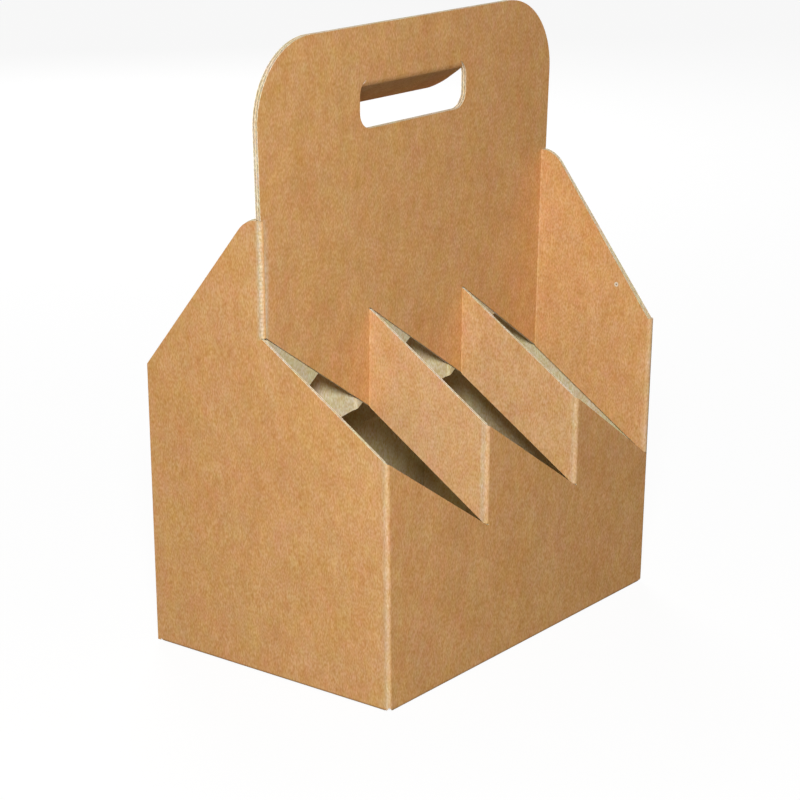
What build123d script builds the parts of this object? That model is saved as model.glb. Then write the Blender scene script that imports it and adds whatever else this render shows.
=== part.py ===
from build123d import *
from math import asin, atan2, cos, hypot, pi, radians, sin, tan
import os

# A six-cell bottle carrier folded from one die-cut sheet of corrugated board.
# Origin: middle of the base, on the ground. X runs along the long walls, Y from
# front to rear, Z up. The brown face of the sheet is outside, the pale one inside.
# The sheet is two like halves, each with a long wall, a left end wall, one ply of
# the handle, two dividers and a liner flap; the rear half is turned half round.

# Body, outside sizes in millimetres, angles in degrees. The end walls lean out
# round a line at lean_height, and length is their distance there.
length = 240.0
depth = 155.0
end_lean = 1.3
lean_height = 100.0
board = 1.5
fold_radius = 0.5
glue_gap = 0.1

# Slanting cuts, which make the saw-tooth top of the long walls
notch_height = 76.0
cut_slope = 0.65
cut_width = 0.5
first_divider = 83.0
second_divider = 165.0

# End walls
corner_height = 153.5
peak_height = 239.0
peak_radius = 16.0

# Handle and grip hole
handle_height = 325.0
handle_spread = 1.5
handle_radius = 40.0
grip_width = 91.0
grip_height = 25.0
grip_radius = 9.0
grip_drop = 40.0
grip_angle = 55.0
grip_fold_radius = 1.6
grip_clearance = 0.8
hinge_drop = 1.2

# Base flaps and the glued lap of the rear left corner
end_flap_length = 75.0
ramp_length = 12.0
flap_clearance = 0.5
corner_notch = 3.0
corner_notch_height = 3.0
corner_foot = 0.5
wall_foot = 2.5
tab_width = 25.0
tab_foot = 6.0

bend_steps = 6
round_share = 0.8

# Places worked out from the sizes above
left = -length / 2
front = -depth / 2
lean = radians(end_lean)
foot_x = left + lean_height * tan(lean)
grip_middle = handle_height - grip_drop
grip_top = grip_middle + grip_height / 2
outer_radius = fold_radius + board
middle_radius = fold_radius + board / 2
half_arc = middle_radius * pi / 4
lift = cut_slope * half_arc
near = front + outer_radius
ply_face = -glue_gap / 2 - board
hinge_y = ply_face - fold_radius
lap = board + glue_gap
end_corner_height = notch_height + cut_slope * first_divider
crease_height = end_corner_height + cut_slope * (ply_face - front)
divider_rise = lift + cut_slope * (hinge_y - near)


def leaned(x, z):
    """Where a point of an upright end piece, in X and Z, comes when the piece leans."""
    side = 1 if x > 0 else -1
    inward = -left - abs(x)
    rise = z - lean_height
    half = -left - inward * cos(lean) + rise * sin(lean)
    return (side * half, lean_height + rise * cos(lean) + inward * sin(lean))


def leaned_at(x, height):
    """The point of the leaned upright line through x that is at this height."""
    start, above = leaned(x, height), leaned(x, height + 1)
    rest = height - start[1]
    return (start[0] + rest * (above[0] - start[0]) / (above[1] - start[1]), height)


def lean_out(shape, side):
    """The left or right end pieces, side -1 or 1, turned outward to their lean."""
    axis = Axis((-left * side, 0, lean_height), (0, 1, 0))
    return shape.rotate(axis, side * end_lean)


def facing_front(y, outline):
    """A panel whose brown face looks to the front; outline in X and Z."""
    return extrude(Plane.XZ.offset(-y) * make_face(outline), -board)


def facing_left(x, outline):
    """A panel whose brown face looks to the left; outline in Y and Z."""
    return extrude(Plane.YZ.offset(x) * make_face(outline), board)


def bend(centre, turn, low, high):
    """The board bent about an upright line, from one angle to the other.

    low and high hold the heights of its lower and upper edge at both ends.
    """
    sections = []
    for step in range(bend_steps + 1):
        share = step / bend_steps
        angle = radians(turn[0] + (turn[1] - turn[0]) * share)
        bottom = low[0] + (low[1] - low[0]) * share
        top = high[0] + (high[1] - high[0]) * share
        outward = (cos(angle), sin(angle), 0)
        along = (sin(angle), -cos(angle), 0)
        plane = Plane(origin=(*centre, 0), x_dir=outward, z_dir=along)
        section = Pos(middle_radius, (bottom + top) / 2) * Rectangle(board, top - bottom)
        sections.append(plane * section)
    return loft(sections, ruled=True)


def roof_edge(start, end):
    """A straight roof edge with the round that levels it at its upper end."""
    run = end[0] - start[0]
    side = 1 if run > 0 else -1
    rise = end[1] - peak_radius - start[1]
    reach = hypot(run, rise)
    slope = atan2(rise, abs(run)) + asin(peak_radius / reach)
    straight = (reach ** 2 - peak_radius ** 2) ** 0.5
    heading = (side * cos(slope), sin(slope))
    tangent = (start[0] + straight * heading[0], start[1] + straight * heading[1])
    return Line(start, tangent) + TangentArc(tangent, end, tangent=heading)


def end_wall(rear_edge):
    """Left end wall: the front half slopes with the cut, the rear half has a peak."""
    bend_start = ply_face + outer_radius
    crease = bend_start - half_arc
    sides = Polyline(
        (rear_edge, corner_height),
        (rear_edge, wall_foot),
        (near, wall_foot),
        (near, end_corner_height + lift),
        (crease, crease_height),
        (bend_start, crease_height),
        (bend_start, peak_height),
    )
    roof = roof_edge((rear_edge, corner_height), (bend_start, peak_height))
    wall = facing_left(left, sides + roof)
    centre = (left + outer_radius, bend_start)
    low = crease_height + cut_width
    wall += bend(centre, (180, 270), (low, low), (peak_height, peak_height))
    corner = (left + outer_radius, near)
    high = (end_corner_height + lift, end_corner_height - lift)
    return wall + bend(corner, (180, 270), (corner_foot, corner_foot), high)


def long_wall(hinges, right_end):
    """Front wall: three teeth, each falling to the next hinge line."""
    start = left + outer_radius
    points = [
        leaned_at(right_end, wall_foot),
        leaned_at(start, wall_foot),
        leaned(start, end_corner_height - lift),
    ]
    for hinge, top in hinges:
        bend_start = hinge + outer_radius
        points.append((bend_start - half_arc, notch_height))
        points.append((bend_start, notch_height))
        points.append((bend_start, top - lift))
    points.append(leaned(right_end, notch_height))
    return facing_front(front, Polyline(*points, close=True))


def divider(x, top):
    """A slanting strip from the long wall to the handle, hinged at both ends."""
    foot = notch_height + cut_width
    outline = Polyline(
        (near, foot + lift),
        (hinge_y, foot + divider_rise),
        (hinge_y, top + divider_rise),
        (near, top + lift),
        close=True,
    )
    strip = facing_left(x, outline)
    centre = (x + outer_radius, near)
    strip += bend(centre, (270, 180), (foot, foot + lift), (top - lift, top + lift))
    return strip + handle_hinge(x, foot + divider_rise, top + divider_rise)


def handle_hinge(x, low, high):
    """The bend from a divider or the liner flap into the ply of the handle."""
    centre = (x - fold_radius, hinge_y)
    return bend(centre, (0, 90), (low, low + 2 * lift), (high, high + lift))


def liner_flap(x):
    """The flap folded back inside the right end wall, up to the handle."""
    start = notch_height + cut_width
    low = start + 2 * lift
    foot = low + cut_slope * (hinge_y - near)
    sides = Polyline(
        (near, corner_height),
        (near, low),
        (hinge_y, foot),
        (hinge_y, peak_height),
    )
    roof = roof_edge((near, corner_height), (hinge_y, peak_height))
    flap = facing_left(x, sides + roof)
    centre = (x + outer_radius, near)
    high = (corner_height, corner_height)
    flap += bend(centre, (270, 180), (start, low), high)
    hinge = (x - fold_radius, hinge_y)
    flap += bend(hinge, (0, 90), (foot, foot + 2 * lift), (peak_height, peak_height))
    return flap, foot + 2 * lift


def right_corner(centre_x):
    """The outer quarter of the right corner fold, from the end wall to the front."""
    high = (corner_height, corner_height)
    return bend((centre_x, near), (360, 270), (corner_foot, corner_foot), high)


def lap_tab(x):
    """The glued tab inside the end wall, in place of a fold at the last corner."""
    outline = Polyline(
        (near, tab_foot),
        (near + tab_width, tab_foot + tab_width / 2),
        (near + tab_width, corner_height - tab_width / 2),
        (near, corner_height),
        close=True,
    )
    return facing_left(x, outline)


def handle_ply(hinges, flap_x, flap_foot):
    """One ply of the handle, with its saw-tooth foot and rounded top."""
    start = left + outer_radius
    peak = leaned(start, peak_height)
    side = leaned_at(-left, peak[1])[0]
    spread = leaned_at(-left, handle_height)[0] + handle_spread
    points = [
        (-spread, handle_height),
        (-side, peak[1]),
        peak,
        leaned(start, crease_height + cut_width),
    ]
    for hinge, top in hinges:
        edge = hinge - fold_radius
        cut_end = top + divider_rise + lift + cut_width
        points.append((edge, notch_height + cut_width + divider_rise + 2 * lift))
        points.append((edge, cut_end))
        points.append((edge + half_arc, cut_end))
    points.append(leaned(flap_x - fold_radius, flap_foot))
    points.append(leaned(flap_x - fold_radius, peak_height))
    points.append((side, points[-1][1]))
    points.append((spread, handle_height))
    ply = make_face(Polyline(*points, close=True))
    corners = ply.vertices().sort_by(Axis.Y)[-2:]
    free_side = handle_height - peak_height
    ply = fillet(corners, min(handle_radius, round_share * free_side))
    return extrude(Plane.XZ.offset(-ply_face) * ply, -board)


def long_base_flap(corner_x):
    """The fold under the long wall and the base flap it carries, up to the middle."""
    first = foot_x + outer_radius + flap_clearance
    last = leaned_at(corner_x, 0)[0] - flap_clearance
    foot = Pos((first + last) / 2, front + board / 2, (outer_radius + wall_foot) / 2)
    foot *= Box(last - first, board, wall_foot - outer_radius)
    section = Plane.XY.offset(outer_radius) * Pos((first + last) / 2, front + board / 2)
    section *= Rectangle(last - first, board)
    axis = Axis((0, near, outer_radius), (1, 0, 0))
    fold = revolve(section, axis, 90)
    ramp_end = foot_x + board + ramp_length
    outline = Polyline(
        (ramp_end, near),
        (-ramp_end, near),
        (-ramp_end, -flap_clearance),
        (ramp_end, -flap_clearance),
        close=True,
    )
    return foot + fold + extrude(make_face(outline), board)


def end_base_flap():
    """The end wall's base flap: it rises from the ground onto the long flaps."""
    wall_x = left + board / 2
    corner = leaned_at(wall_x, board / 2)
    upper = board / 2 + lap
    path = FilletPolyline(
        leaned(wall_x, wall_foot),
        corner,
        (corner[0] + ramp_length, upper),
        (corner[0] + end_flap_length, upper),
        radius=middle_radius,
    )
    width = depth - 2 * (outer_radius + flap_clearance)
    profile = Plane.XZ * trace(path, line_width=board)
    return extrude(profile, width / 2, both=True)


def half(inset):
    """One half of the sheet; inset moves its right corner in, under the glued lap."""
    tops = [
        notch_height + cut_slope * (second_divider - first_divider),
        notch_height + cut_slope * (length - second_divider),
    ]
    hinges = [(left + first_divider, tops[0]), (left + second_divider, tops[1])]
    corner_x = -left - inset - outer_radius
    flap_x = corner_x - outer_radius
    flap, flap_foot = liner_flap(flap_x)
    sheet = lean_out(end_wall(-near if inset else -front), -1)
    sheet += long_wall(hinges, corner_x)
    for x, top in hinges:
        sheet += divider(x, top)
    sheet += lean_out(flap, 1)
    sheet += handle_ply(hinges, flap_x, flap_foot)
    sheet += lean_out(right_corner(corner_x), 1)
    if inset:
        sheet += lean_out(lap_tab(corner_x + fold_radius), 1)
    sheet += long_base_flap(corner_x)
    sheet += end_base_flap()
    return sheet


def corner_notches():
    """Small notches where the two base folds meet at each bottom corner."""
    cutters = []
    for x in (foot_x, -foot_x):
        for y in (front, -front):
            inward = (-x / abs(x), -y / abs(y), 0)
            aside = (inward[1], -inward[0], 0)
            plane = Plane(origin=(x, y, 0), x_dir=aside, z_dir=inward)
            half_width = corner_notch * 2 ** -0.5
            triangle = Polyline(
                (-half_width, 0), (half_width, 0), (0, corner_notch_height), close=True
            )
            cutters.append(extrude(plane * make_face(triangle), corner_notch * 2))
    return cutters


def grip_outline(gap):
    """The rounded outline of the grip in X and Z, with a gap at its sides and foot.

    It reaches hinge_drop above the line where the flaps fold.
    """
    outline = RectangleRounded(
        grip_width - 2 * gap, grip_height + hinge_drop - gap, grip_radius
    )
    return Pos(0, grip_middle + (hinge_drop + gap) / 2) * outline


def below_hinge(outline):
    """The part of an outline below the line where the flaps fold."""
    return outline & Pos(0, grip_middle) * Rectangle(grip_width, grip_height)


def grip_flap(inner_radius):
    """One ply's grip flap, folded back through the hole round a line behind it."""
    hinge = (0, grip_fold_radius - ply_face, grip_top)
    middle = inner_radius + board / 2
    corner_x = grip_width / 2 - grip_clearance - grip_radius
    sections = []
    for step in range(bend_steps + 1):
        angle = radians(grip_angle) * step / bend_steps
        rise = grip_radius - hinge_drop - middle * angle
        half_width = corner_x + (grip_radius ** 2 - rise ** 2) ** 0.5
        plane = Plane(origin=hinge, x_dir=(1, 0, 0), z_dir=(0, sin(angle), -cos(angle)))
        sections.append(plane * Pos(0, middle) * Rectangle(2 * half_width, board))
    fold = loft(sections, ruled=True)
    used = middle * radians(grip_angle)
    outline = below_hinge(Pos(0, used) * grip_outline(grip_clearance))
    face = hinge[1] - inner_radius - board
    tongue = extrude(Plane.XZ.offset(-face) * outline, -board)
    return fold + tongue.rotate(Axis(hinge, (1, 0, 0)), grip_angle)


carrier = half(0) + Rot(0, 0, 180) * half(lap)
for cutter in corner_notches():
    carrier -= cutter
carrier -= extrude(Plane.XZ * below_hinge(grip_outline(0)), lap, both=True)
carrier += grip_flap(grip_fold_radius)
carrier += grip_flap(grip_fold_radius + lap)

os.makedirs("parts", exist_ok=True)
export_step(carrier, "parts/carrier_sheet.step")
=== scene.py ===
from math import asin, atan2, ceil, cos, exp, hypot, pi, radians, sin, tan

import bmesh
import bpy
from mathutils import Matrix, Vector


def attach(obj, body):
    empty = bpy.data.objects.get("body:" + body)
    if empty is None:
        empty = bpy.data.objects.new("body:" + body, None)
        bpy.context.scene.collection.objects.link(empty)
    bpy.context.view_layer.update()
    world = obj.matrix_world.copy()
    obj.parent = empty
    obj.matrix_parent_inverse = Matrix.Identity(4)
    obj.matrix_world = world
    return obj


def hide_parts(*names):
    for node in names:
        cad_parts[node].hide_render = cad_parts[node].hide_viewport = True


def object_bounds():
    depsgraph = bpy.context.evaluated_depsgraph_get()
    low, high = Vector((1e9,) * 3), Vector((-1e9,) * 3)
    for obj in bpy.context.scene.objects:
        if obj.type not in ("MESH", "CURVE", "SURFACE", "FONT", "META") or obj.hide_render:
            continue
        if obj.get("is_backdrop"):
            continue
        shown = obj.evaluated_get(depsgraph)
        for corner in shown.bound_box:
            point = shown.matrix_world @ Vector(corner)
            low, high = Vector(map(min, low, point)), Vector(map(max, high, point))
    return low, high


# A six-cell bottle carrier folded from one sheet of corrugated board, dressed over
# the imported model. The board is built here as it is made: a brown liner, a pale
# liner, and a fluted paper between them that shows at every cut edge.
# The carrier's lengths are in millimetres and become metres where a mesh or a
# material is made.
# The camera, the floor, the lamps and the nick in the paper are placed in metres.

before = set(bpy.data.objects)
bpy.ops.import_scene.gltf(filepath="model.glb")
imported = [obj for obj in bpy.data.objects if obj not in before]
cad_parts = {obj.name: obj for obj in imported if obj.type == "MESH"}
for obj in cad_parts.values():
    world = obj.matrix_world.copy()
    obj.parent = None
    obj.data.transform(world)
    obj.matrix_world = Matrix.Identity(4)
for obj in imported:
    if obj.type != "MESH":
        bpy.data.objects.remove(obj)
cad_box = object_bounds()
MILLIMETRE = 0.001

# Sizes of the carrier, as in the construction
length = 240.0
depth = 155.0
board = 1.5
fold_radius = 0.5
glue_gap = 0.1
lean = radians(1.3)
lean_height = 100.0
notch_height = 76.0
cut_slope = 0.65
cut_width = 0.5
first_divider = 83.0
second_divider = 165.0
corner_height = 153.5
peak_height = 239.0
peak_radius = 16.0
handle_height = 325.0
handle_spread = 1.5
handle_radius = 40.0
grip_width = 91.0
grip_height = 25.0
grip_radius = 9.0
grip_drop = 40.0
grip_angle = radians(55.0)
grip_fold_radius = 1.6
grip_clearance = 0.8
hinge_drop = 1.2
end_flap_length = 75.0
ramp_length = 12.0
flap_clearance = 0.5
wall_foot = 2.5
tab_width = 25.0
tab_foot = 6.0

# The board's own structure: the thickness of a liner and of the fluted paper, and how
# far in from a cut edge the fluted paper starts and is drawn
liner = 0.24
medium = 0.2
flute_pitch = 4.2
flute_reaches = (0.12, 0.7, 1.4, 3.0)
ripple_height = 0.12

# How finely edges, rounds and folds are cut up
edge_step = 0.6
arc_steps = 10
fold_steps = 8
ripple_step = 0.35
row_step = 3.0

# smallest_turn keeps the way into the board short where a cut edge turns sharply.
# Points nearer together than same_place are one, and tiny is a step to one side.
smallest_turn = 0.4
same_place = 1e-6
tiny = 0.01

# The notch at a bottom corner: the height of the corner fold's foot at its ends and
# middle, and how far the ends of the base folds slant away from it. A wall that ends
# in a cut edge there has a lower foot.
notch_end = 0.9
notch_middle = 2.7
notch_slant = 2.2
cut_corner_foot = 0.8

# Creases: the paper is palest a little to one side of a fold's middle. It fades over
# crease_before on that side, with a faint tail, and over crease_after on the other.
crease_shift = -0.4
crease_before = 2.0
crease_after = 0.8
tail_crease = 0.1
tail_width = 10.0
fade_steps = (0.8, 1.8, 3.0, 8.0, 20.0)
fade_height = 1.0
corner_crease = 0.5
centre_crease = 0.95
handle_crease = 0.2
divider_paleness = 0.22
liner_flap_paleness = 0.07

# The front folds of the two dividers: strength, shift, and width of the far side
divider_creases = ((0.75, -2.0, 2.2), (0.6, -0.8, 1.6))

# Places worked out from the sizes. near is the Y where the folds off the front wall
# end, and hinge_y the Y where the folds onto the handle start. lift is the rise of a
# slanting cut over half a fold, and wave the swing of the fluted paper to each side.
left = -length / 2
front = -depth / 2
foot_x = left + lean_height * tan(lean)
outer_radius = fold_radius + board
middle_radius = fold_radius + board / 2
quarter = middle_radius * pi / 2
lift = cut_slope * quarter / 2
near = front + outer_radius
ply_face = -glue_gap / 2 - board
hinge_y = ply_face - fold_radius
lap = board + glue_gap
end_corner_height = notch_height + cut_slope * first_divider
crease_height = end_corner_height + cut_slope * (ply_face - front)
divider_rise = lift + cut_slope * (hinge_y - near)
grip_middle = handle_height - grip_drop
grip_top = grip_middle + grip_height / 2
wave = board / 2 - liner - medium / 2

CUT = "cut"
FOLD = "fold"


# The camera, fitted to the photograph's viewing angle

camera_place = (-0.99922, -0.75018, 0.49143)
camera_forward = Vector((0.76416, 0.57870, -0.28489))
camera_right = Vector((0.60523, -0.79603, 0.00642))
camera_lens = 109.42

camera_data = bpy.data.cameras.new("camera")
camera_data.lens = camera_lens
camera_data.sensor_width = 36.0
camera = bpy.data.objects.new("camera", camera_data)
bpy.context.scene.collection.objects.link(camera)
camera_up = camera_right.cross(camera_forward)
turned = Matrix((camera_right, camera_up, -camera_forward)).transposed().to_4x4()
camera.matrix_world = Matrix.Translation(camera_place) @ turned
bpy.context.scene.camera = camera


# Placing flat pieces: u runs along the sheet, z up, and n out of the brown face

def facing_front(y):
    """A panel whose brown face looks to the front, at this Y."""
    return lambda u, z, n: (u, y + board / 2 - n, z)


def facing_left(x):
    """A panel whose brown face looks to the left, at this X."""
    return lambda u, z, n: (x + board / 2 - n, u, z)


def facing_right(x):
    """A panel whose brown face looks to the right, with its pale face at this X."""
    return lambda u, z, n: (x + board / 2 + n, u, z)


def around(centre, first, way, brown_side=1):
    """A bend round an upright line, from the angle first, turning one way or the other.

    brown_side is 1 where the brown face is the outer one, else -1.
    """
    def place(u, z, n):
        angle = radians(first) + way * u / middle_radius
        radius = middle_radius + brown_side * n
        return (centre[0] + radius * cos(angle), centre[1] + radius * sin(angle), z)
    return place


def leaning(place, side):
    """The same place with the lean of the left or right end wall, side -1 or 1."""
    def leaned_place(u, z, n):
        x, y, height = place(u, z, n)
        across, rise = x - side * length / 2, height - lean_height
        x = side * length / 2 + across * cos(lean) + side * rise * sin(lean)
        return (x, y, lean_height + rise * cos(lean) - side * across * sin(lean))
    return leaned_place


def half_turn(place):
    """The same place in the rear half of the carrier."""
    def turned_place(u, z, n):
        x, y, height = place(u, z, n)
        return (-x, -y, height)
    return turned_place


def leaned(x, z):
    """Where a point of an upright end piece, in X and Z, comes when the piece leans."""
    side = 1 if x > 0 else -1
    at = leaning(lambda u, height, n: (u, 0, height), side)(x, z, 0)
    return (at[0], at[2])


def leaned_at(x, height):
    """The point of the leaned upright line through x that is at this height."""
    start, above = leaned(x, height), leaned(x, height + 1)
    rest = height - start[1]
    return (start[0] + rest * (above[0] - start[0]) / (above[1] - start[1]), height)


# Collecting the mesh

class Pieces:
    """The faces of one mesh, with a material number and a crease share for each."""

    def __init__(self):
        self.points = []
        self.creases = []
        self.faces = []
        self.materials = []
        self.smooth = []

    def add(self, points, faces, material, creases=None, smooth=False):
        first = len(self.points)
        self.points += points
        self.creases += creases or [0.0] * len(points)
        for face in faces:
            self.faces.append([first + corner for corner in face])
            self.materials.append(material)
            self.smooth.append(smooth)

    def make(self, name, materials):
        mesh = bpy.data.meshes.new(name)
        points = [tuple(MILLIMETRE * value for value in point) for point in self.points]
        mesh.from_pydata(points, [], self.faces)
        mesh.polygons.foreach_set("material_index", self.materials)
        mesh.polygons.foreach_set("use_smooth", self.smooth)
        crease = mesh.attributes.new("crease", "FLOAT", "POINT")
        crease.data.foreach_set("value", self.creases)
        for material in materials:
            mesh.materials.append(material)
        mesh.validate()
        piece = bpy.data.objects.new(name, mesh)
        bpy.context.scene.collection.objects.link(piece)
        return piece


BROWN, PALE, CUT_PAPER, INSIDE = range(4)
liners = Pieces()
flutes = Pieces()


def handedness(place, u, z):
    """1 where a face drawn anticlockwise in u and z looks to the brown side, else -1."""
    at = Vector(place(u, z, 0))
    along = Vector(place(u + tiny, z, 0)) - at
    up = Vector(place(u, z + tiny, 0)) - at
    out = Vector(place(u, z, tiny)) - at
    return 1 if along.cross(up).dot(out) > 0 else -1


def add_layers(flat_points, faces, place, crease_at, smooth=False, ripple=0.0):
    """Both liners of a patch, each with its outer and its inner face.

    A ripple sinks the outer faces along a crease, twice in each flute.
    """
    hand = handedness(place, *flat_points[0])
    creases = [crease_at(u, z) for u, z in flat_points]
    half = board / 2
    for offset, material, looks, sinks in (
        (half, BROWN, 1, 1),
        (half - liner, INSIDE, -1, 0),
        (liner - half, INSIDE, 1, 0),
        (-half, PALE, -1, 1),
    ):
        order = faces if hand * looks > 0 else [face[::-1] for face in faces]
        points = []
        for (u, z), crease in zip(flat_points, creases):
            sink = sinks * ripple * crease * (1 + sin(4 * pi * z / flute_pitch))
            points.append(place(u, z, offset - looks * sink))
        liners.add(points, order, material, creases, smooth)


def add_edge(run, place, closed=False):
    """A cut edge: the ends of both liners, and the fluted paper a little behind them.

    run goes anticlockwise round the patch, so that the board is on its left.
    """
    run = [run[0]] + [b for a, b in zip(run, run[1:]) if distance(a, b) > same_place]
    if closed:
        run.append(run[0])
    samples = edge_samples(run, inward_ways(run, closed))
    hand = handedness(place, *run[0])
    half = board / 2
    for low, high in ((half - liner, half), (-half, liner - half)):
        points = [place(*point, n) for point, inward in samples for n in (low, high)]
        add_ribbon(liners, points, 2, CUT_PAPER, hand > 0)
    for side in (1, -1):
        points = []
        for sample in samples:
            points += [flute_point(sample, reach, side, place) for reach in flute_reaches]
        add_ribbon(flutes, points, len(flute_reaches), 0, hand * side < 0)
    points = []
    for sample in samples:
        points += [flute_point(sample, flute_reaches[0], side, place) for side in (-1, 1)]
    add_ribbon(flutes, points, 2, 0, hand > 0)


def inward_ways(run, closed):
    """The way into the board at each point of a run, longer where the run turns."""
    normals = []
    for a, b in zip(run, run[1:]):
        along = unit(a, b)
        normals.append((-along[1], along[0]))
    ways = []
    for i in range(len(run)):
        before = normals[i - 1] if i > 0 or closed else normals[0]
        after = normals[i % len(normals)] if i < len(normals) or closed else normals[-1]
        both = (before[0] + after[0], before[1] + after[1])
        reach = 2 / max(hypot(*both), smallest_turn) ** 2
        ways.append((both[0] * reach, both[1] * reach))
    return ways


def edge_samples(run, ways):
    """Points close together along a run, each with the way into the board there."""
    samples = []
    for i in range(len(run) - 1):
        steps = max(1, ceil(distance(run[i], run[i + 1]) / edge_step))
        for step in range(steps + (i == len(run) - 2)):
            share = step / steps
            point = between(run[i], run[i + 1], share)
            samples.append((point, between(ways[i], ways[i + 1], share)))
    return samples


def distance(a, b):
    return hypot(b[0] - a[0], b[1] - a[1])


def between(a, b, share):
    """The point at this share of the way from a to b."""
    return (a[0] + (b[0] - a[0]) * share, a[1] + (b[1] - a[1]) * share)


def unit(start, end):
    """The direction from one point to another, one long."""
    size = distance(start, end)
    return ((end[0] - start[0]) / size, (end[1] - start[1]) / size)


def cross(a, b):
    return a[0] * b[1] - a[1] * b[0]


def dot(a, b):
    return a[0] * b[0] + a[1] * b[1]


def flute_point(sample, reach, side, place):
    """A point of the fluted paper, this far in from the cut edge."""
    (u, z), inward = sample
    u, z = u + inward[0] * reach, z + inward[1] * reach
    return place(u, z, wave * sin(2 * pi * z / flute_pitch) + side * medium / 2)


def add_ribbon(pieces, points, wide, material, forward):
    """A ribbon of quads from rows of points."""
    faces = []
    for row in range(len(points) // wide - 1):
        for column in range(wide - 1):
            a = row * wide + column
            face = [a, a + wide, a + wide + 1, a + 1]
            faces.append(face if forward else face[::-1])
    pieces.add(points, faces, material, smooth=wide > 2)


def no_crease(u, z):
    return 0.0


def add_panel(outline, place, crease_at=no_crease, lines_u=(), lines_z=(), hole=None):
    """A flat panel from its outline, a list of (u, z, kind of the edge that follows).

    The faces are cut along the given lines, so that the crease share can change there.
    """
    points = [(u, z) for u, z, kind in outline]
    kinds = [kind for u, z, kind in outline]
    if signed_area(points) < 0:
        points.reverse()
        kinds = [kinds[i] for i in range(len(kinds) - 2, -1, -1)] + [kinds[-1]]
    work = bmesh.new()
    loops = [points] + ([hole] if hole else [])
    edges = []
    for loop in loops:
        corners = [work.verts.new((u, z, 0)) for u, z in loop]
        edges += [work.edges.new((a, b)) for a, b in zip(corners, corners[1:] + corners[:1])]
    if hole:
        bmesh.ops.triangle_fill(work, use_beauty=True, use_dissolve=True, edges=edges)
    else:
        bmesh.ops.contextual_create(work, geom=edges)
    cuts = [((u, 0, 0), (1, 0, 0)) for u in lines_u] + [((0, z, 0), (0, 1, 0)) for z in lines_z]
    for place_on, across in cuts:
        whole = work.verts[:] + work.edges[:] + work.faces[:]
        bmesh.ops.bisect_plane(work, geom=whole, plane_co=place_on, plane_no=across)
    for face in work.faces:
        if face.normal.z < 0:
            face.normal_flip()
    work.verts.index_update()
    flat_points = [(vertex.co.x, vertex.co.y) for vertex in work.verts]
    faces = [[vertex.index for vertex in face.verts] for face in work.faces]
    work.free()
    add_layers(flat_points, faces, place, crease_at)
    for run, closed in cut_runs(points, kinds):
        add_edge(run, place, closed)


def signed_area(points):
    """The area inside an outline, below zero where it runs clockwise."""
    following = points[1:] + points[:1]
    return sum(cross(a, b) for a, b in zip(points, following)) / 2


def cut_runs(points, kinds):
    """The unbroken runs of cut edge in a closed outline."""
    count = len(points)
    if all(kind == CUT for kind in kinds):
        return [(points, True)]
    starts = [i for i in range(count) if kinds[i] == CUT and kinds[i - 1] != CUT]
    runs = []
    for start in starts:
        run = [points[start]]
        i = start
        while kinds[i % count] == CUT:
            i += 1
            run.append(points[i % count])
        runs.append((run, False))
    return runs


def straight(ends):
    """A height that changes evenly along a bend, from its value at one end to the other."""
    return lambda u: ends[0] + (ends[1] - ends[0]) * u / quarter


def add_bend(place, low, high, crease, rippled=False):
    """The board bent through a right angle, rippled where the crushed flutes show."""
    columns = [quarter * step / fold_steps for step in range(fold_steps + 1)]
    rows = max(1, ceil((high(0) - low(0)) / (ripple_step if rippled else row_step)))
    flat_points = []
    for row in range(rows + 1):
        for u in columns:
            flat_points.append((u, low(u) + (high(u) - low(u)) * row / rows))
    faces = []
    for row in range(rows):
        for column in range(fold_steps):
            a = row * (fold_steps + 1) + column
            faces.append([a, a + 1, a + fold_steps + 2, a + fold_steps + 1])
    ripple = ripple_height if rippled else 0.0
    add_layers(flat_points, faces, place, crease, smooth=True, ripple=ripple)
    add_edge([(u, low(u)) for u in columns], place)
    add_edge([(u, high(u)) for u in reversed(columns)], place)


def fold_crease(
    middle, way, strength, shift=crease_shift, after=crease_after, low=0.0, high=handle_height
):
    """The crease share round an upright fold line at u = middle, between two heights.

    way is 1 where u runs away from the paler side of the fold, else -1.
    """
    def share(u, z):
        if not low - tiny <= z <= high + tiny:
            return 0.0
        aside = way * (u - middle) - shift
        width = crease_before if aside < 0 else after
        tail = tail_crease * exp(aside / tail_width) if aside < 0 else 0.0
        return max(tail, strength * exp(-(aside / width) ** 2))
    return share


def even(strength):
    """The same crease share everywhere."""
    return lambda u, z: strength


def fade_lines(line, way):
    """Lines beside a fold, on one side of it, between which the crease fades."""
    return [line + way * step for step in fade_steps]


def most(*shares):
    """The strongest of several crease shares."""
    return lambda u, z: max(share(u, z) for share in shares)


# The panels of one half, in the order of the construction. wrap puts a place in the
# front or the rear half, and hinges holds each divider's X and its tooth's height.

def roof_edge(start, end):
    """Points of a straight roof edge and the round that levels it at its upper end."""
    run = end[0] - start[0]
    side = 1 if run > 0 else -1
    rise = end[1] - peak_radius - start[1]
    slope = atan2(rise, abs(run)) + asin(peak_radius / hypot(run, rise))
    points = [(*start, CUT)]
    for step in range(arc_steps + 1):
        angle = slope * (1 - step / arc_steps)
        u = end[0] - side * peak_radius * sin(angle)
        z = end[1] - peak_radius * (1 - cos(angle))
        points.append((u, z, CUT))
    return points


def notched_foot(u):
    """The foot of a corner fold, with the small notch cut where two base folds meet."""
    return notch_middle - (notch_middle - notch_end) * abs(2 * u / quarter - 1)


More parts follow.
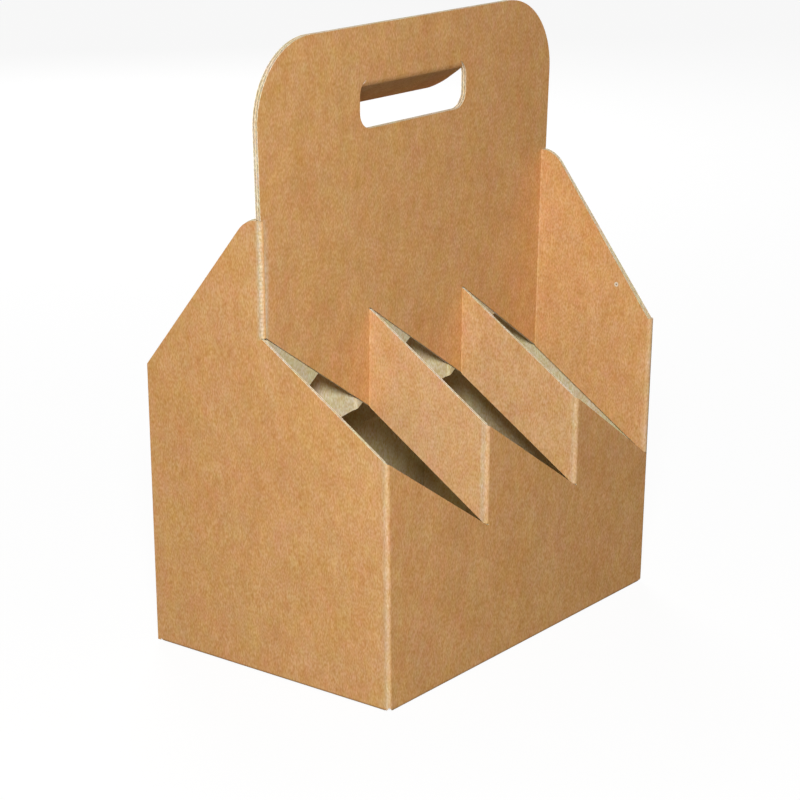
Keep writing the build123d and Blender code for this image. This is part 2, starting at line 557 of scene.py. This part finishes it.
def add_end_wall(rear_edge, wrap):
    """Left end wall: the front half slopes with the cut, the rear half has a peak.

    It ends at the Y rear_edge: in a fold, or at -front in a cut edge.
    """
    bend_start = ply_face + outer_radius
    crease = bend_start - quarter / 2
    if rear_edge == -front:
        outline = [
            (rear_edge, corner_height, CUT),
            (rear_edge, cut_corner_foot, CUT),
            (-near, cut_corner_foot, FOLD),
        ]
    else:
        outline = [(rear_edge, corner_height, FOLD)]
    outline += [
        (-near, wall_foot, FOLD),
        (near, wall_foot, FOLD),
        (near, end_corner_height + lift, CUT),
        (crease, crease_height, CUT),
        (bend_start, crease_height, CUT),
        (bend_start, crease_height + cut_width, FOLD),
    ]
    roof = roof_edge((rear_edge, corner_height), (bend_start, peak_height))
    outline += roof[::-1][:-1]
    low = crease_height + cut_width
    creased = [
        fold_crease(near - quarter / 2, -1, corner_crease),
        fold_crease(crease, -1, centre_crease, low=low),
    ]
    lines_u = fade_lines(near, 1) + fade_lines(bend_start, 1)
    if rear_edge == -near:
        creased.append(fold_crease(rear_edge + quarter / 2, 1, corner_crease))
        lines_u += fade_lines(rear_edge, -1)
    place = wrap(leaning(facing_left(left), -1))
    add_panel(outline, place, most(*creased), lines_u, (crease_height - fade_height, low))
    place = wrap(leaning(around((left + outer_radius, bend_start), 180, 1), -1))
    folded = fold_crease(quarter / 2, 1, centre_crease)
    high = straight((peak_height, peak_height))
    add_bend(place, straight((low, low)), high, folded, rippled=True)
    high = (end_corner_height + lift, end_corner_height - lift)
    place = wrap(leaning(around((left + outer_radius, near), 180, 1), -1))
    add_bend(place, notched_foot, straight(high), fold_crease(quarter / 2, 1, corner_crease))


def add_long_wall(hinges, right_end, wrap):
    """Front wall: three teeth, each falling to the next hinge line."""
    start = left + outer_radius
    corner = leaned(start, end_corner_height - lift)
    outline = [
        (*leaned_at(right_end, wall_foot), FOLD),
        (*leaned_at(start, wall_foot), FOLD),
        (*corner, CUT),
    ]
    for hinge, top in hinges:
        bend_start = hinge + outer_radius
        outline += [
            (bend_start - quarter / 2, notch_height, CUT),
            (bend_start, notch_height, CUT),
            (bend_start, notch_height + cut_width, FOLD),
            (bend_start, top - lift, CUT),
        ]
    outline.append((*leaned(right_end, notch_height), FOLD))
    add_panel(outline, wrap(facing_front(front)))


def add_divider(x, top, wrap, crease):
    """A divider, hinged at the front wall and the handle; crease is its front fold's."""
    foot = notch_height + cut_width
    place = wrap(around((x + outer_radius, near), 270, -1))
    folded = fold_crease(quarter / 2, -1, *crease)
    add_bend(place, straight((foot, foot + lift)), straight((top - lift, top + lift)), folded)
    outline = [
        (near, foot + lift, CUT),
        (hinge_y, foot + divider_rise, FOLD),
        (hinge_y, top + divider_rise, CUT),
        (near, top + lift, FOLD),
    ]
    creased = most(
        fold_crease(near - quarter / 2, -1, *crease),
        fold_crease(hinge_y + quarter / 2, 1, handle_crease),
        even(divider_paleness),
    )
    lines_u = fade_lines(near, 1) + fade_lines(hinge_y, -1)
    add_panel(outline, wrap(facing_left(x)), creased, lines_u)
    low = (foot + divider_rise, foot + divider_rise + 2 * lift)
    high = (top + divider_rise, top + divider_rise + lift)
    place = wrap(around((x - fold_radius, hinge_y), 0, 1, -1))
    add_bend(place, straight(low), straight(high), fold_crease(quarter / 2, 1, handle_crease))


def add_liner_flap(x, wrap):
    """The flap folded back inside the right end wall; gives the height of its hinge foot."""
    start = notch_height + cut_width
    low = start + 2 * lift
    foot = low + cut_slope * (hinge_y - near)
    place = wrap(leaning(around((x + outer_radius, near), 270, -1), 1))
    folded = fold_crease(0, -1, corner_crease, shift=0)
    add_bend(place, straight((start, low)), straight((corner_height, corner_height)), folded)
    outline = [
        (near, corner_height, FOLD),
        (near, low, CUT),
        (hinge_y, foot, FOLD),
        (hinge_y, peak_height, CUT),
    ]
    outline += roof_edge((near, corner_height), (hinge_y, peak_height))[::-1][1:-1]
    creased = most(
        fold_crease(near - quarter, -1, corner_crease, shift=0),
        fold_crease(hinge_y + quarter / 2, 1, handle_crease),
        even(liner_flap_paleness),
    )
    lines_u = fade_lines(near, 1) + fade_lines(hinge_y, -1)
    add_panel(outline, wrap(leaning(facing_left(x), 1)), creased, lines_u)
    place = wrap(leaning(around((x - fold_radius, hinge_y), 0, 1, -1), 1))
    folded = fold_crease(quarter / 2, 1, handle_crease)
    high = (peak_height, peak_height)
    add_bend(place, straight((foot, foot + 2 * lift)), straight(high), folded)
    return foot + 2 * lift


def add_right_corner(centre_x, wrap):
    """The right corner fold, whose upper part is the liner flap's turn back."""
    place = wrap(leaning(around((centre_x, near), 360, -1), 1))
    edge = fold_crease(quarter / 2, 1, corner_crease, high=notch_height)
    turned_back = fold_crease(quarter, 1, corner_crease, shift=0, low=notch_height)
    high = straight((corner_height, corner_height))
    add_bend(place, notched_foot, high, most(edge, turned_back))


def add_lap_tab(x, wrap):
    """The glued tab inside the end wall, in place of a fold at the last corner."""
    outline = [
        (near, tab_foot, CUT),
        (near + tab_width, tab_foot + tab_width / 2, CUT),
        (near + tab_width, corner_height - tab_width / 2, CUT),
        (near, corner_height, FOLD),
    ]
    add_panel(outline, wrap(leaning(facing_right(x), 1)))


def rounded(corner, before, after, radius):
    """Points of a round between two straight edges that meet at a corner."""
    towards = [unit(corner, before), unit(corner, after)]
    opening = atan2(abs(cross(*towards)), dot(*towards))
    reach = radius / tan(opening / 2)
    middle = [towards[0][k] + towards[1][k] for k in (0, 1)]
    size = radius / sin(opening / 2) / hypot(*middle)
    centre = [corner[k] + middle[k] * size for k in (0, 1)]
    first, last = ([corner[k] + way[k] * reach - centre[k] for k in (0, 1)] for way in towards)
    start = atan2(first[1], first[0])
    turn = atan2(cross(first, last), dot(first, last))
    points = []
    for step in range(2 * arc_steps + 1):
        angle = start + turn * step / (2 * arc_steps)
        points.append((centre[0] + radius * cos(angle), centre[1] + radius * sin(angle)))
    return points


def grip_loop(gap):
    """The grip's outline below its fold line, from its upper left end round its foot.

    It has a gap at its sides and foot, and runs anticlockwise.
    """
    side = grip_width / 2 - gap - grip_radius
    foot = grip_middle - grip_height / 2 + gap + grip_radius
    upper = grip_top + hinge_drop - grip_radius
    end = asin((grip_radius - hinge_drop) / grip_radius)
    points = []
    for centre, first, last in (
        ((-side, upper), pi - end, pi),
        ((-side, foot), pi, 3 * pi / 2),
        ((side, foot), 3 * pi / 2, 2 * pi),
        ((side, upper), 0, end),
    ):
        for step in range(arc_steps + 1):
            angle = first + (last - first) * step / arc_steps
            x = centre[0] + grip_radius * cos(angle)
            points.append((x, centre[1] + grip_radius * sin(angle)))
    return points


def add_handle_ply(hinges, flap_x, flap_foot, wrap):
    """One ply of the handle, with its saw-tooth foot, rounded top and grip hole."""
    start = left + outer_radius
    peak = leaned(start, peak_height)
    side = leaned_at(-left, peak[1])[0]
    spread = leaned_at(-left, handle_height)[0] + handle_spread
    far_foot = leaned(flap_x - fold_radius, flap_foot)
    far_peak = leaned(flap_x - fold_radius, peak_height)
    foot_corner = leaned(start, crease_height + cut_width)
    outline = [(-side, peak[1], CUT), (*peak, FOLD), (*foot_corner, CUT)]
    for hinge, top in hinges:
        edge = hinge - fold_radius
        fold_top = top + divider_rise + lift
        outline += [
            (edge, notch_height + cut_width + divider_rise + 2 * lift, FOLD),
            (edge, fold_top, CUT),
            (edge, fold_top + cut_width, CUT),
            (edge + quarter / 2, fold_top + cut_width, CUT),
        ]
    outline += [(*far_foot, FOLD), (*far_peak, CUT), (side, far_peak[1], CUT)]
    top_right, top_left = (spread, handle_height), (-spread, handle_height)
    for corner, before, after in (
        (top_right, (side, far_peak[1]), top_left),
        (top_left, top_right, (-side, peak[1])),
    ):
        outline += [(u, z, CUT) for u, z in rounded(corner, before, after, handle_radius)]
    creased = fold_crease(start - quarter / 2, 1, centre_crease, high=peak_height)
    hole = grip_loop(0)
    place = wrap(facing_front(ply_face))
    lines_z = (peak_height, peak_height + fade_height)
    add_panel(outline, place, creased, fade_lines(start, 1), lines_z, hole)
    add_edge(hole[::-1], place)


def add_grip_flap(inner_radius, brown_side):
    """One ply's grip flap, folded back through the hole round a line behind it."""
    middle = inner_radius + board / 2
    fold_length = middle * grip_angle
    axis_y = grip_fold_radius - ply_face

    def place(u, z, n):
        fallen = grip_top - z
        angle = min(fallen / middle, grip_angle)
        radius = middle + brown_side * n
        rest = max(0.0, fallen - fold_length)
        y = axis_y - radius * cos(angle) + rest * sin(angle)
        return (u, y, grip_top - radius * sin(angle) - rest * cos(angle))

    loop = grip_loop(grip_clearance)
    outline = [(u, z, CUT) for u, z in loop[:-1]] + [(*loop[-1], FOLD)]
    rows = [grip_top - fold_length * step / fold_steps for step in range(1, fold_steps + 1)]
    add_panel(outline, place, lines_z=rows)


def base_path():
    """The end base flap's middle line in X and Z, down from the wall and onto the long flaps."""
    corner = leaned_at(left + board / 2, board / 2)
    upper = board / 2 + lap
    corners = [
        leaned(left + board / 2, wall_foot),
        corner,
        (corner[0] + ramp_length, upper),
        (corner[0] + end_flap_length, upper),
    ]
    points = [corners[0]]
    for before, at, after in zip(corners, corners[1:], corners[2:]):
        points += rounded(at, before, after, middle_radius)
    return points + [corners[-1]]


def add_base(corner_x, wrap):
    """The folds under the front and left walls, and the base flaps they carry."""
    first = leaned_at(left + outer_radius, wall_foot)[0]
    last = leaned_at(corner_x, wall_foot)[0]
    ramp_end = foot_x + board + ramp_length
    fold_start = wall_foot - outer_radius
    fold_end = fold_start + quarter

    def under_wall(u, d, n):
        """Down from the foot of the front wall and on under it; d is the way gone."""
        angle = min(max(d - fold_start, 0) / middle_radius, pi / 2)
        drop = min(d, fold_start)
        rest = max(0.0, d - fold_end)
        radius = middle_radius + n
        z = wall_foot - drop - radius * sin(angle)
        return (u, near - radius * cos(angle) + rest, z)

    outline = [
        (first, 0, FOLD),
        (first + notch_slant, fold_end, CUT),
        (ramp_end, fold_end, CUT),
        (ramp_end, fold_end - near - flap_clearance, CUT),
        (-ramp_end, fold_end - near - flap_clearance, CUT),
        (-ramp_end, fold_end, CUT),
        (last - notch_slant, fold_end, CUT),
        (last, 0, FOLD),
    ]
    rows = [fold_start + quarter * step / fold_steps for step in range(fold_steps)]
    add_panel(outline, wrap(under_wall), no_crease, (), rows)

    path = base_path()
    fold_points = 2 * arc_steps + 1
    widths = [-near - notch_slant * min(1, step / fold_points) for step in range(len(path))]

    def along_path(u, step, n):
        """Down from the foot of the left wall along the path; step counts its points."""
        i = min(int(step), len(path) - 2)
        way = unit(path[i], path[i + 1])
        x, z = between(path[i], path[i + 1], step - i)
        return (x + way[1] * n, u, z - way[0] * n)

    faces = [[2 * i, 2 * i + 1, 2 * i + 3, 2 * i + 2] for i in range(len(path) - 1)]
    flat_points = [(side * widths[step], step) for step in range(len(path)) for side in (-1, 1)]
    add_layers(flat_points, faces, wrap(along_path), no_crease)


def add_half(inset, wrap):
    """One half of the sheet; inset moves its right corner in, under the glued lap."""
    tops = [
        notch_height + cut_slope * (second_divider - first_divider),
        notch_height + cut_slope * (length - second_divider),
    ]
    hinges = [(left + first_divider, tops[0]), (left + second_divider, tops[1])]
    corner_x = -left - inset - outer_radius
    flap_x = corner_x - outer_radius
    add_end_wall(-near if inset else -front, wrap)
    add_long_wall(hinges, corner_x, wrap)
    for (x, top), crease in zip(hinges, divider_creases):
        add_divider(x, top, wrap, crease)
    flap_foot = add_liner_flap(flap_x, wrap)
    add_handle_ply(hinges, flap_x, flap_foot, wrap)
    add_right_corner(corner_x, wrap)
    if inset:
        add_lap_tab(corner_x + fold_radius, wrap)
    add_base(corner_x, wrap)


# Materials

def srgb(red, green, blue):
    """A colour as read from a picture, turned to the linear values that a shader takes."""
    values = []
    for value in (red, green, blue):
        share = value / 255
        values.append(share / 12.92 if share <= 0.04045 else ((share + 0.055) / 1.055) ** 2.4)
    return tuple(values)


# How much red, green and blue vary: a paler fibre is also a greyer one
colour_shares = (0.6, 1.0, 1.8)

# Grains are the sizes of the paper's largest clouds along X, Y and Z, and bump_height
# is the height of the relief that the fine clouds give it, all in millimetres
fine_grain = (0.7, 0.7, 1.6)
fine_strength = 0.66
fibre_grain = (14.0, 14.0, 22.0)
fibre_strength = 0.6
tint_grain = (18.0, 18.0, 26.0)
tint_strength = 0.36
cloud_octaves = 3.0
paper_roughness = 0.8
paper_specular = 0.1
bump_strength = 0.15
bump_height = 0.04

# A small nick in the brown face of the front liner flap: a pale torn rim round a dark middle,
# which is painted shade in the nick's hollow
nick_place = (0.1176, -0.0543, 0.1697)
nick_radius = 0.0013
nick_hole = 0.0004
nick_rim = srgb(208, 194, 172)
nick_hole_shade = srgb(128, 102, 84)


# The mix node's sockets for colours and for single values: first, second and result
MIX_COLOURS = (6, 7, 2)
MIX_VALUES = (2, 3, 0)


def shader(name):
    """A new material with its nodes and links."""
    material = bpy.data.materials.new(name)
    material.use_nodes = True
    return material, material.node_tree.nodes, material.node_tree.links


def variation(nodes, links, coordinates, grain, strength, octaves=0.0, tinted=False):
    """A factor near 1 for each of red, green and blue that varies over the paper."""
    mapping = nodes.new("ShaderNodeMapping")
    mapping.inputs["Scale"].default_value = [1 / (MILLIMETRE * size) for size in grain]
    links.new(coordinates, mapping.inputs["Vector"])
    texture = nodes.new("ShaderNodeTexNoise")
    texture.inputs["Scale"].default_value = 1.0
    texture.inputs["Detail"].default_value = octaves
    texture.inputs["Roughness"].default_value = 1.0
    links.new(mapping.outputs["Vector"], texture.inputs["Vector"])
    factor = nodes.new("ShaderNodeVectorMath")
    factor.operation = "MULTIPLY_ADD"
    factor.inputs[1].default_value = [strength * share for share in colour_shares]
    factor.inputs[2].default_value = [1 - strength * share / 2 for share in colour_shares]
    links.new(texture.outputs["Color" if tinted else "Fac"], factor.inputs[0])
    return factor.outputs["Vector"]


def multiply(nodes, links, first, second):
    """One colour times another."""
    node = nodes.new("ShaderNodeVectorMath")
    node.operation = "MULTIPLY"
    links.new(first, node.inputs[0])
    links.new(second, node.inputs[1])
    return node.outputs["Vector"]


def blend(nodes, links, factor, under, over):
    """A colour laid over another one by a factor."""
    node = nodes.new("ShaderNodeMix")
    node.data_type = "RGBA"
    links.new(factor, node.inputs["Factor"])
    first, second, result = MIX_COLOURS
    links.new(under, node.inputs[first])
    node.inputs[second].default_value = (*over, 1)
    return node.outputs[result]


def within(nodes, links, coordinates, middle, radius):
    """1 nearer to a point of the carrier than a radius, else 0."""
    away = nodes.new("ShaderNodeVectorMath")
    away.operation = "DISTANCE"
    links.new(coordinates, away.inputs[0])
    away.inputs[1].default_value = middle
    near_it = nodes.new("ShaderNodeMath")
    near_it.operation = "LESS_THAN"
    links.new(away.outputs["Value"], near_it.inputs[0])
    near_it.inputs[1].default_value = radius
    return near_it.outputs[0]


def paper(name, colour, crease_colour=None, nicked=False):
    """Uncoated paper: cloudy fibres that run up the sheet, and paler creases."""
    material, nodes, links = shader(name)
    bsdf = nodes["Principled BSDF"]
    coordinates = nodes.new("ShaderNodeTexCoord").outputs["Object"]
    plain = nodes.new("ShaderNodeRGB")
    plain.outputs[0].default_value = (*colour, 1)
    shade = plain.outputs[0]
    if crease_colour:
        attribute = nodes.new("ShaderNodeAttribute")
        attribute.attribute_name = "crease"
        shade = blend(nodes, links, attribute.outputs["Fac"], shade, crease_colour)
    grains = variation(nodes, links, coordinates, fine_grain, fine_strength)
    fibres = variation(nodes, links, coordinates, fibre_grain, fibre_strength, cloud_octaves)
    tints = variation(
        nodes, links, coordinates, tint_grain, tint_strength, cloud_octaves, tinted=True
    )
    for factor in (grains, fibres, tints):
        shade = multiply(nodes, links, shade, factor)
    # The nick's pale rim is torn paper; its dark middle is painted shade in the hollow
    if nicked:
        for radius, nick_colour in ((nick_radius, nick_rim), (nick_hole, nick_hole_shade)):
            inside = within(nodes, links, coordinates, nick_place, radius)
            shade = blend(nodes, links, inside, shade, nick_colour)
    links.new(shade, bsdf.inputs["Base Color"])
    bsdf.inputs["Roughness"].default_value = paper_roughness
    bsdf.inputs["Specular IOR Level"].default_value = paper_specular
    bump = nodes.new("ShaderNodeBump")
    bump.inputs["Strength"].default_value = bump_strength
    bump.inputs["Distance"].default_value = MILLIMETRE * bump_height
    links.new(grains, bump.inputs["Height"])
    links.new(bump.outputs["Normal"], bsdf.inputs["Normal"])
    return material


brown_kraft = paper("brown_kraft", srgb(199, 149, 95), srgb(201, 179, 146), nicked=True)
pale_liner = paper("pale_liner", srgb(194, 180, 145), srgb(214, 202, 170))
cut_paper = paper("cut_paper", srgb(242, 218, 180))
board_inside = paper("board_inside", srgb(196, 183, 158))
fluted_paper = paper("fluted_paper", srgb(206, 190, 160))

add_half(0, lambda place: place)
add_half(lap, half_turn)
add_grip_flap(grip_fold_radius, -1)
add_grip_flap(grip_fold_radius + lap, 1)

board_piece = liners.make("carrier_board", [brown_kraft, pale_liner, cut_paper, board_inside])
flute_piece = flutes.make("carrier_flutes", [fluted_paper])
for piece in (board_piece, flute_piece):
    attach(piece, "root")
    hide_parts("carrier_sheet")


# Floor, light and world

# Lengths are in metres here, and the powers of the lamps in watts
floor_reach = 12.0
floor_gap = 0.0002
floor_grey = 0.15
floor_white = 0.92
ambient = 0.09
ambient_colour = (1.0, 0.95, 0.88)
aim = (0, 0, 0.12)
key_place = (-1.08, -0.8, 0.76)
key_size = 0.25
key_power = 25.8
fill_place = (1.1, 1.3, 0.9)
fill_size = 1.0
fill_power = 21.0


def seen_directly(nodes, links):
    """1 for rays from the camera, a reflection or a clear material, else 0."""
    path = nodes.new("ShaderNodeLightPath")
    total = path.outputs["Is Camera Ray"]
    for kind in ("Is Glossy Ray", "Is Transmission Ray"):
        adding = nodes.new("ShaderNodeMath")
        adding.use_clamp = True
        links.new(total, adding.inputs[0])
        links.new(path.outputs[kind], adding.inputs[1])
        total = adding.outputs[0]
    return total


def floor_paint():
    """Almost white with a faint shadow where it is seen, and grey in the light it gives back."""
    material, nodes, links = shader("floor")
    seen = seen_directly(nodes, links)
    colour = nodes.new("ShaderNodeMix")
    first, second, result = MIX_VALUES
    links.new(seen, colour.inputs["Factor"])
    colour.inputs[first].default_value = floor_grey
    colour.inputs[second].default_value = 1.0
    matt = nodes["Principled BSDF"]
    matt.inputs["Roughness"].default_value = 1.0
    links.new(colour.outputs[result], matt.inputs["Base Color"])
    white = nodes.new("ShaderNodeEmission")
    white_share = nodes.new("ShaderNodeMath")
    white_share.operation = "MULTIPLY"
    links.new(seen, white_share.inputs[0])
    white_share.inputs[1].default_value = floor_white
    both = nodes.new("ShaderNodeMixShader")
    links.new(white_share.outputs[0], both.inputs["Fac"])
    links.new(matt.outputs["BSDF"], both.inputs[1])
    links.new(white.outputs["Emission"], both.inputs[2])
    links.new(both.outputs["Shader"], nodes["Material Output"].inputs["Surface"])
    return material


def add_floor():
    """A wide floor a hair under the carrier."""
    signs = ((-1, -1), (1, -1), (1, 1), (-1, 1))
    corners = [(x * floor_reach, y * floor_reach, 0) for x, y in signs]
    mesh = bpy.data.meshes.new("floor")
    mesh.from_pydata(corners, [], [(0, 1, 2, 3)])
    mesh.materials.append(floor_paint())
    floor = bpy.data.objects.new("floor", mesh)
    bpy.context.scene.collection.objects.link(floor)
    floor.location.z = -floor_gap
    floor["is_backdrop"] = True


def add_world():
    """A dim warm light from all sides, and behind the floor the same white as the floor."""
    world = bpy.data.worlds.new("world")
    bpy.context.scene.world = world
    world.use_nodes = True
    nodes, links = world.node_tree.nodes, world.node_tree.links
    light = nodes["Background"]
    light.inputs["Color"].default_value = (*ambient_colour, 1)
    light.inputs["Strength"].default_value = ambient
    backdrop = nodes.new("ShaderNodeBackground")
    backdrop.inputs["Color"].default_value = (floor_white, floor_white, floor_white, 1)
    both = nodes.new("ShaderNodeMixShader")
    links.new(seen_directly(nodes, links), both.inputs["Fac"])
    links.new(light.outputs["Background"], both.inputs[1])
    links.new(backdrop.outputs["Background"], both.inputs[2])
    links.new(both.outputs["Shader"], nodes["World Output"].inputs["Surface"])


def add_lamp(name, place, size, power):
    """A round lamp aimed at the lower middle of the carrier."""
    data = bpy.data.lights.new(name, "AREA")
    data.shape = "DISK"
    data.size = size
    data.energy = power
    lamp = bpy.data.objects.new(name, data)
    bpy.context.scene.collection.objects.link(lamp)
    lamp.location = place
    lamp.rotation_euler = (Vector(aim) - Vector(place)).to_track_quat("-Z", "Y").to_euler()


add_floor()
add_world()
add_lamp("key", key_place, key_size, key_power)
add_lamp("fill", fill_place, fill_size, fill_power)

bpy.context.scene.view_settings.view_transform = "Standard"

boxes = {"cad": cad_box, "visual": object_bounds()}
{name: [list(corner) for corner in box] for name, box in boxes.items()}
